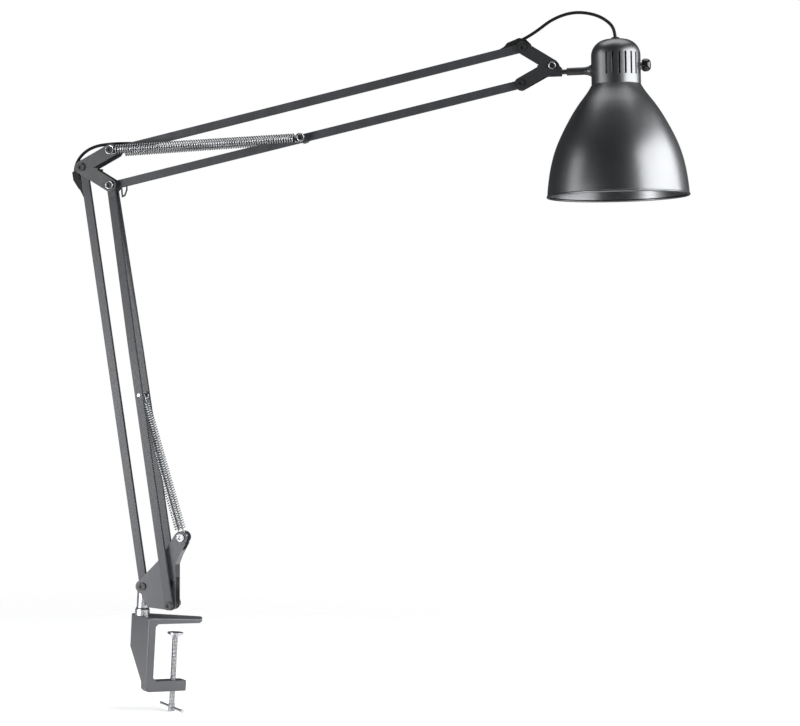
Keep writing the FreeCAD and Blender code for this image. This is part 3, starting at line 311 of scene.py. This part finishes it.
# ==== Swivel and base bracket ====
# The folded steel bracket turns on the spigot. Pivot screws with hexagon sockets, their nuts and
# plastic bushes hold the lower bars in it.
def moulded(name, colour, rough, grain=1400.0, depth=0.02 * MM, coat=0.0, specular=0.3):
    """Moulded plastic or rubber: a fine spark-eroded grain and slightly uneven gloss."""
    shader = Finish(name)
    grains = shader.noise(scale=grain, detail=2.0)
    clouds = shader.noise(scale=60.0, detail=3.0)
    return shader.finish(
        Base_Color=shader.tint(clouds, colour, darkest=0.8, lightest=1.25),
        Roughness=clouds.levels(rough - 0.06, rough + 0.06),
        Normal=shader.relief(grains, depth, rounding=0.2 * MM),
        Coat_Weight=coat,
        Coat_Roughness=0.08,
        Specular_IOR_Level=specular,
    )


PLATE_GREY = (0.056, 0.058, 0.062)
plate_paint = painted("plate_paint", PLATE_GREY)
black_steel = painted("black_steel", (0.012, 0.012, 0.013), rough=0.42, metallic=0.0, flake=0.02)
bush_plastic = moulded("bush_plastic", (0.02, 0.02, 0.021), rough=0.5)
dress(painted("bracket_paint", (0.062, 0.064, 0.070)), "base_bracket")
dress(bright, "swivel_sleeve", "base_pivot_nuts", "spring_anchor_pin")
dress(plate_paint, "friction_washer")
dress(black_steel, "base_pivot_screws")
dress(bush_plastic, "base_pivot_bushes")

# ==== Lower arm ====
# A square tube behind and two thin flat bars in front, bent together towards the base, all
# painted. The cable enters the tube through a rubber boot.
ARM_GREY = (0.042, 0.044, 0.048)
boot_rubber = moulded("boot_rubber", (0.007, 0.007, 0.0075), rough=0.55, specular=0.2)
dress(painted("arm_paint", ARM_GREY), "lower_rear_bar", "lower_front_bar_near",
      "lower_front_bar_far")
dress(bright, "lower_spring_pin")
dress(boot_rubber, "rear_bar_cable_boot")

# ==== Elbow ====
# Two pressed plates with four pivots. The upper springs hook over the long pin at the top, and
# two of the screw heads show a bright turned ring.
ELBOW_FRONT = Vector((-0.07246, 0, 0.47115))
ELBOW_TOP = Vector((-0.07267, 0, 0.50915))
RING_STEPS = 48


def curve_mesh(name, curve):
    """The mesh that Blender makes of a curve."""
    model = bpy.data.objects.new(name, curve)
    bpy.context.scene.collection.objects.link(model)
    depsgraph = bpy.context.evaluated_depsgraph_get()
    mesh = bpy.data.meshes.new_from_object(model.evaluated_get(depsgraph))
    bpy.data.objects.remove(model)
    return mesh


def wire(name, points, radius, material, sides=5):
    """A round wire through the points."""
    curve = bpy.data.curves.new(name, "CURVE")
    curve.dimensions = "3D"
    spline = curve.splines.new("POLY")
    spline.points.add(len(points) - 1)
    for place, point in zip(spline.points, points):
        place.co = (*point, 1.0)
    curve.bevel_depth = radius
    curve.bevel_resolution = sides
    curve.use_fill_caps = True
    mesh = curve_mesh(name, curve)
    for face in mesh.polygons:
        face.use_smooth = True
    piece = mesh_object(name, mesh, material)
    return piece


def ring(name, body, centre, radius, thick, on):
    """A bright turned ring on the near face of a pivot screw, level with the node's near side."""
    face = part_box(on)[0].y + 0.4 * thick
    points = []
    for i in range(RING_STEPS + 1):
        angle = 2 * math.pi * i / RING_STEPS
        points.append((centre.x + radius * math.cos(angle), face,
                       centre.z + radius * math.sin(angle)))
    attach(wire(name, points, thick, bright, 3), body)


dress(plate_paint, "elbow_plate_near", "elbow_plate_far")
dress(black_steel, "elbow_pivot_screws", "elbow_spring_pin")
dress(bright, "elbow_pivot_nuts", "elbow_spring_sleeves")
dress(bush_plastic, "elbow_bushes")
ring("elbow_front_ring", "elbow", ELBOW_FRONT, 3.9 * MM, 0.5 * MM, "elbow_pivot_screws")
ring("elbow_top_ring", "elbow", ELBOW_TOP, 4.4 * MM, 0.5 * MM, "elbow_spring_pin")

# ==== Upper arm ====
# Two square tubes one above the other, painted. The lower one has the springs' pin and a small
# wire stop, and the upper one ends in the rubber guide of the cable.
BAR_SPRING = Vector((0.13852, 0, 0.52986))
dress(painted("upper_paint", shade_of(ARM_GREY, 1.1)), "upper_top_bar", "upper_bottom_bar")
dress(black_steel, "bar_spring_pin", "arm_stop_loop")
dress(bright, "bar_spring_sleeves")
dress(boot_rubber, "cable_guide")
ring("bar_spring_ring", "bottom_arm", BAR_SPRING, 3.7 * MM, 0.45 * MM, "bar_spring_pin")

# ==== Balance springs ====
# Close-wound bright steel wire, with an open hook at each end over a pin. The upper pair is wound
# in two halves, each left in its rest place.
# The lower pair swings and keeps its length.
ANCHOR = Vector((0.02710, 0, 0.09400))
FRONT_SPRING = Vector((-0.02623, 0, 0.24534))
UPPER_WIRE_R = 0.65 * MM
LOWER_WIRE_R = 0.6 * MM


class Spring:
    """A tension spring from one pin to another. Its hooks lie in the plane of the arm."""

    TURN_STEPS = 18
    BEND_STEPS = 5
    HOOK_START = 360
    HOOK_SWEEP = 270
    OFFSET = 2.2 * MM
    PIN_SEAT = 0.3 * MM

    def __init__(self, start, end, start_y, end_y, side, radius, wire_d, coil_from, turns, pins):
        a = start + Vector((0, side * start_y, 0))
        b = end + Vector((0, side * end_y, 0))
        self.origin = a
        self.length = (b - a).length
        self.along = (b - a).normalized()
        self.across = -side * Vector((0, -1, 0))
        self.across -= self.along * self.across.dot(self.along)
        self.across.normalize()
        self.up = self.along.cross(self.across)
        self.radius = radius
        self.wire_d = wire_d
        self.coil_from = coil_from
        self.turns = turns
        self.pins = pins

    def at(self, x, y, z):
        return self.origin + self.along * x + self.across * y + self.up * z

    def coil(self, first, last):
        """Points of the coil from one share of its turns to another."""
        run = self.length - 2 * self.coil_from
        steps = round((last - first) * self.turns * self.TURN_STEPS)
        points = []
        for i in range(steps + 1):
            share = first + (last - first) * i / steps
            angle = 2 * math.pi * self.turns * share
            points.append(self.at(self.coil_from + run * share, self.radius * math.sin(angle),
                                  self.radius * math.cos(angle)))
        return points

    def hook(self, far):
        """Points of a hook, from its tip to the coil."""
        centre = self.radius - self.wire_d / 2 - self.pins[far] - self.PIN_SEAT
        points = []
        for i in range(self.TURN_STEPS + 1):
            angle = math.radians(self.HOOK_START - self.HOOK_SWEEP * i / self.TURN_STEPS)
            points.append((centre + self.radius * math.cos(angle), -self.OFFSET,
                           self.radius * math.sin(angle)))
        bend = self.coil_from - self.OFFSET
        for i in range(self.BEND_STEPS):
            angle = math.pi / 2 * i / self.BEND_STEPS
            points.append((bend + self.OFFSET * math.sin(angle), -self.OFFSET * math.cos(angle),
                           self.radius))
        if far:
            return [self.at(self.length - x, -y, z) for x, y, z in reversed(points)]
        return [self.at(x, y, z) for x, y, z in points]


spring_wire = steel("spring_wire", (0.33, 0.34, 0.35), rough=0.25)
for side, label in ((-1, "near"), (1, "far")):
    spring = Spring(ELBOW_TOP, BAR_SPRING, start_y=15.6 * MM, end_y=8.4 * MM, side=side,
                    radius=4.35 * MM, wire_d=2 * UPPER_WIRE_R, coil_from=7.3 * MM, turns=74,
                    pins=(2.5 * MM, 2.0 * MM))
    middle = spring.at(spring.length / 2, 0, 0)
    half = wire("upper_spring_elbow_half_" + label, spring.hook(False) + spring.coil(0, 0.5),
                UPPER_WIRE_R, spring_wire)
    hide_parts("upper_spring_" + label, "upper_spring_elbow_hooks")
    spring.at(spring.coil_from, 0, 0)
    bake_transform(half)
    half = wire("upper_spring_bar_half_" + label, spring.coil(0.5, 1) + spring.hook(True),
                UPPER_WIRE_R, spring_wire)
    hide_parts("upper_spring_" + label, "upper_spring_bar_hooks")
    spring.at(spring.length - spring.coil_from, 0, 0)
    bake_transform(half)

    spring = Spring(ANCHOR, FRONT_SPRING, start_y=5.6 * MM, end_y=4.75 * MM, side=side,
                    radius=3.9 * MM, wire_d=2 * LOWER_WIRE_R, coil_from=9.2 * MM, turns=54,
                    pins=(2.3 * MM, 2.0 * MM))
    whole = wire("lower_spring_wound_" + label,
                 spring.hook(False) + spring.coil(0, 1) + spring.hook(True),
                 LOWER_WIRE_R, spring_wire)
    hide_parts("lower_spring_" + label)
    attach(whole, "lower_springs")

# ==== Cable ====
# One black round cable, 3.4 mm across, which runs inside the rear and top bars and leaves them in
# a loop round the elbow and another over the head. Routes are in mm from the nearest pivot.
CABLE_R = 1.7 * MM
REAR = Vector((-0.01363, 0, 0.03856))
HEAD_LOW = Vector((0.37070, 0, 0.59447))
ELBOW_ROUTE = ((51.7, 52.3), (32.0, 47.2), (13.0, 46.7), (-6.0, 45.4), (-23.8, 41.9),
               (-37.3, 32.6), (-44.1, 18.8), (-41.4, 4.9), (-33.7, -7.7), (-27.1, -19.9),
               (-23.1, -32.2))
HEAD_ROUTE = ((-41.1, 26.7), (-29.3, 31.1), (-15.8, 39.8), (-2.1, 45.8), (12.5, 55.0),
              (29.7, 69.4), (51.3, 77.3), (74.1, 75.3), (89.7, 67.0), (96.0, 57.4), (96.8, 45.9))
LOWER_LEAN = math.radians(101.57)
LOWER_ALONG = Vector((math.cos(LOWER_LEAN), 0, math.sin(LOWER_LEAN)))
cable_skin = moulded("cable_skin", (0.006, 0.006, 0.0065), rough=0.5, specular=0.15)


def cable_line(origin, route):
    """The points of the cable's smooth middle line."""
    curve = bpy.data.curves.new("cable_line", "CURVE")
    curve.dimensions = "3D"
    curve.resolution_u = 8
    spline = curve.splines.new("NURBS")
    spline.points.add(len(route) - 1)
    for place, (x, z) in zip(spline.points, route):
        place.co = (origin.x + x * MM, 0, origin.z + z * MM, 1.0)
    spline.order_u = 3
    spline.use_endpoint_u = True
    return [point.co.copy() for point in curve_mesh("cable_line", curve).vertices]


def cable_piece(name, points, node):
    piece = wire(name, points, CABLE_R, cable_skin, 4)
    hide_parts(node)
    return piece


def stretch(name, line, first, last, node):
    """A length of a loop, from one share of it to another, left in its rest place."""
    count = len(line) - 1
    a = round(first * count)
    b = round(last * count)
    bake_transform(cable_piece(name, line[a:b + 1], node))


def inner_cable(name, start, end, body, node):
    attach(cable_piece(name, [start, end], node), body)


elbow_line = cable_line(ELBOW_FRONT, ELBOW_ROUTE)
stretch("elbow_loop_upper", elbow_line, 0, 0.5, "elbow_cable_loop")
stretch("elbow_loop_lower", list(reversed(elbow_line)), 0, 0.5,
        "elbow_cable_loop")
head_line = cable_line(HEAD_LOW, HEAD_ROUTE)
stretch("head_loop_arm", head_line, 0, 0.36, "head_cable_loop")
stretch("head_loop_middle", head_line, 0.36, 0.80, "head_cable_loop")
stretch("head_loop_shade", head_line, 0.80, 1, "head_cable_loop")
inner_cable("cable_in_top_bar", elbow_line[0], head_line[0], "top_arm", "upper_bar_cable")
inner_cable("cable_in_rear_bar", elbow_line[-1], REAR + LOWER_ALONG * 24 * MM, "rear_arm",
            "rear_bar_cable")

# ==== Head bracket ====
# Two pressed plates on three pivots, and the turned tilt knuckle whose rod the shade swings on.
# All are painted darker than the elbow, in its plate grey at half the brightness: painted shade.
TILT = Vector((0.40322, 0, 0.61433))
dress(painted("head_paint", shade_of(PLATE_GREY, 0.5)), "head_plate_near", "head_plate_far",
      "tilt_knuckle", "head_rod")
dress(black_steel, "head_pivot_screws")
dress(bright, "head_pivot_nuts")
ring("tilt_ring", "head_bracket", TILT, 3.5 * MM, 0.5 * MM, "head_pivot_screws")

# ==== Shade ====
# A spun bell with a rolled rim and a domed neck with seven slots. Fine rings are left by the
# spinning. The cable enters through a rubber grommet in the dome.
HEAD_LEAN = math.radians(4.1)
HEAD_UP = Vector((-math.sin(HEAD_LEAN), 0, math.cos(HEAD_LEAN)))
HEAD_ALONG = Vector((math.cos(HEAD_LEAN), 0, math.sin(HEAD_LEAN)))
SHADE_AXIS = TILT + HEAD_ALONG * 66 * MM - HEAD_UP * 6.6 * MM
SHADE_GREY = (0.135, 0.138, 0.143)
RINGS_PER_METRE = 900.0
shader = Finish("shade_paint")
height = shader.place.away_from(SHADE_AXIS).dot(HEAD_UP)
rings = shader.node("TexNoise", {"W": height * RINGS_PER_METRE, "Detail": 2.0, "Scale": 1.0},
                    noise_dimensions="1D")
tone = shader.noise(scale=2600.0, detail=1.0) * 0.5 + shader.noise(scale=22.0, detail=3.0) * 0.5
spun = rings * 0.15 + shader.noise(scale=900.0) * 0.85
dress(shader.finish(
    Base_Color=shader.tint(tone.between(0.35, 0.65), SHADE_GREY, darkest=0.9, lightest=1.1),
    Roughness=rings.levels(0.33, 0.36),
    Metallic=1.0,
    Normal=shader.relief(spun, depth=0.012 * MM, rounding=0.3 * MM),
    Coat_Weight=0.08,
    Coat_Roughness=0.2,
), "shade")
dress(boot_rubber, "cable_grommet")

# ==== Lampholder and bulb ====
# A black moulded holder under a steel bridge in the neck, with an opal bulb on an aluminium cap.
# The last of the cable drops from the grommet to the holder.
dress(moulded("holder_black", (0.015, 0.015, 0.016), rough=0.3), "lampholder")
dress(bright, "holder_bridge")
dress(steel("cap_metal", (0.72, 0.72, 0.73), rough=0.3), "bulb_cap")
shader = Finish("bulb_glass")
frost = shader.noise(scale=300.0, detail=3.0)
dress(shader.finish(
    Base_Color=shader.blend(frost, (0.84, 0.84, 0.82), (0.90, 0.90, 0.88)),
    Roughness=frost.levels(0.16, 0.24),
    Normal=shader.relief(frost, depth=0.01 * MM),
    Coat_Weight=0.6,
    Coat_Roughness=0.05,
), "light_bulb")
drop_top = SHADE_AXIS + HEAD_UP * 27.6 * MM
drop_end = SHADE_AXIS - HEAD_UP * 8.8 * MM
inner_cable("cable_in_shade", drop_top, drop_end, "head", "head_inner_cable")

# ==== Rotary switch ====
# A domed glossy black knob on a bright ferrule, turning the switch inside the neck. The knob is
# turned from its profile, in mm along its axis and out from it.
KNOB_CENTRE = SHADE_AXIS + HEAD_UP * 3.4 * MM
KNOB_PROFILE = ((26.9, 0.0), (26.9, 4.6), (27.4, 5.6), (28.4, 6.5), (30.2, 6.85), (32.4, 6.7),
                (34.2, 6.1), (35.6, 4.9), (36.3, 3.0), (36.5, 0.0))
SAME_POINT = 0.01 * MM
mesh = bpy.data.meshes.new("knob")
build = bmesh.new()
rim = [build.verts.new(KNOB_CENTRE + HEAD_ALONG * x * MM + HEAD_UP * r * MM)
       for x, r in KNOB_PROFILE]
edges = [build.edges.new(pair) for pair in zip(rim, rim[1:])]
bmesh.ops.spin(build, geom=rim + edges, cent=KNOB_CENTRE, axis=HEAD_ALONG, angle=2 * math.pi,
               steps=48, use_merge=True)
bmesh.ops.remove_doubles(build, verts=build.verts, dist=SAME_POINT)
bmesh.ops.recalc_face_normals(build, faces=build.faces)
for face in build.faces:
    face.smooth = True
build.to_mesh(mesh)
build.free()
knob_black = moulded("knob_black", (0.006, 0.006, 0.0065), rough=0.12, depth=0.002 * MM, coat=0.5)
knob = mesh_object("knob", mesh, knob_black)
rounded = knob.modifiers.new("rounded", "SUBSURF")
rounded.levels = 2
rounded.render_levels = 2
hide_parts("switch_knob")
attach(knob, "knob")
dress(moulded("switch_body", (0.02, 0.02, 0.02), rough=0.4), "switch_body")
dress(bright, "switch_ferrule")
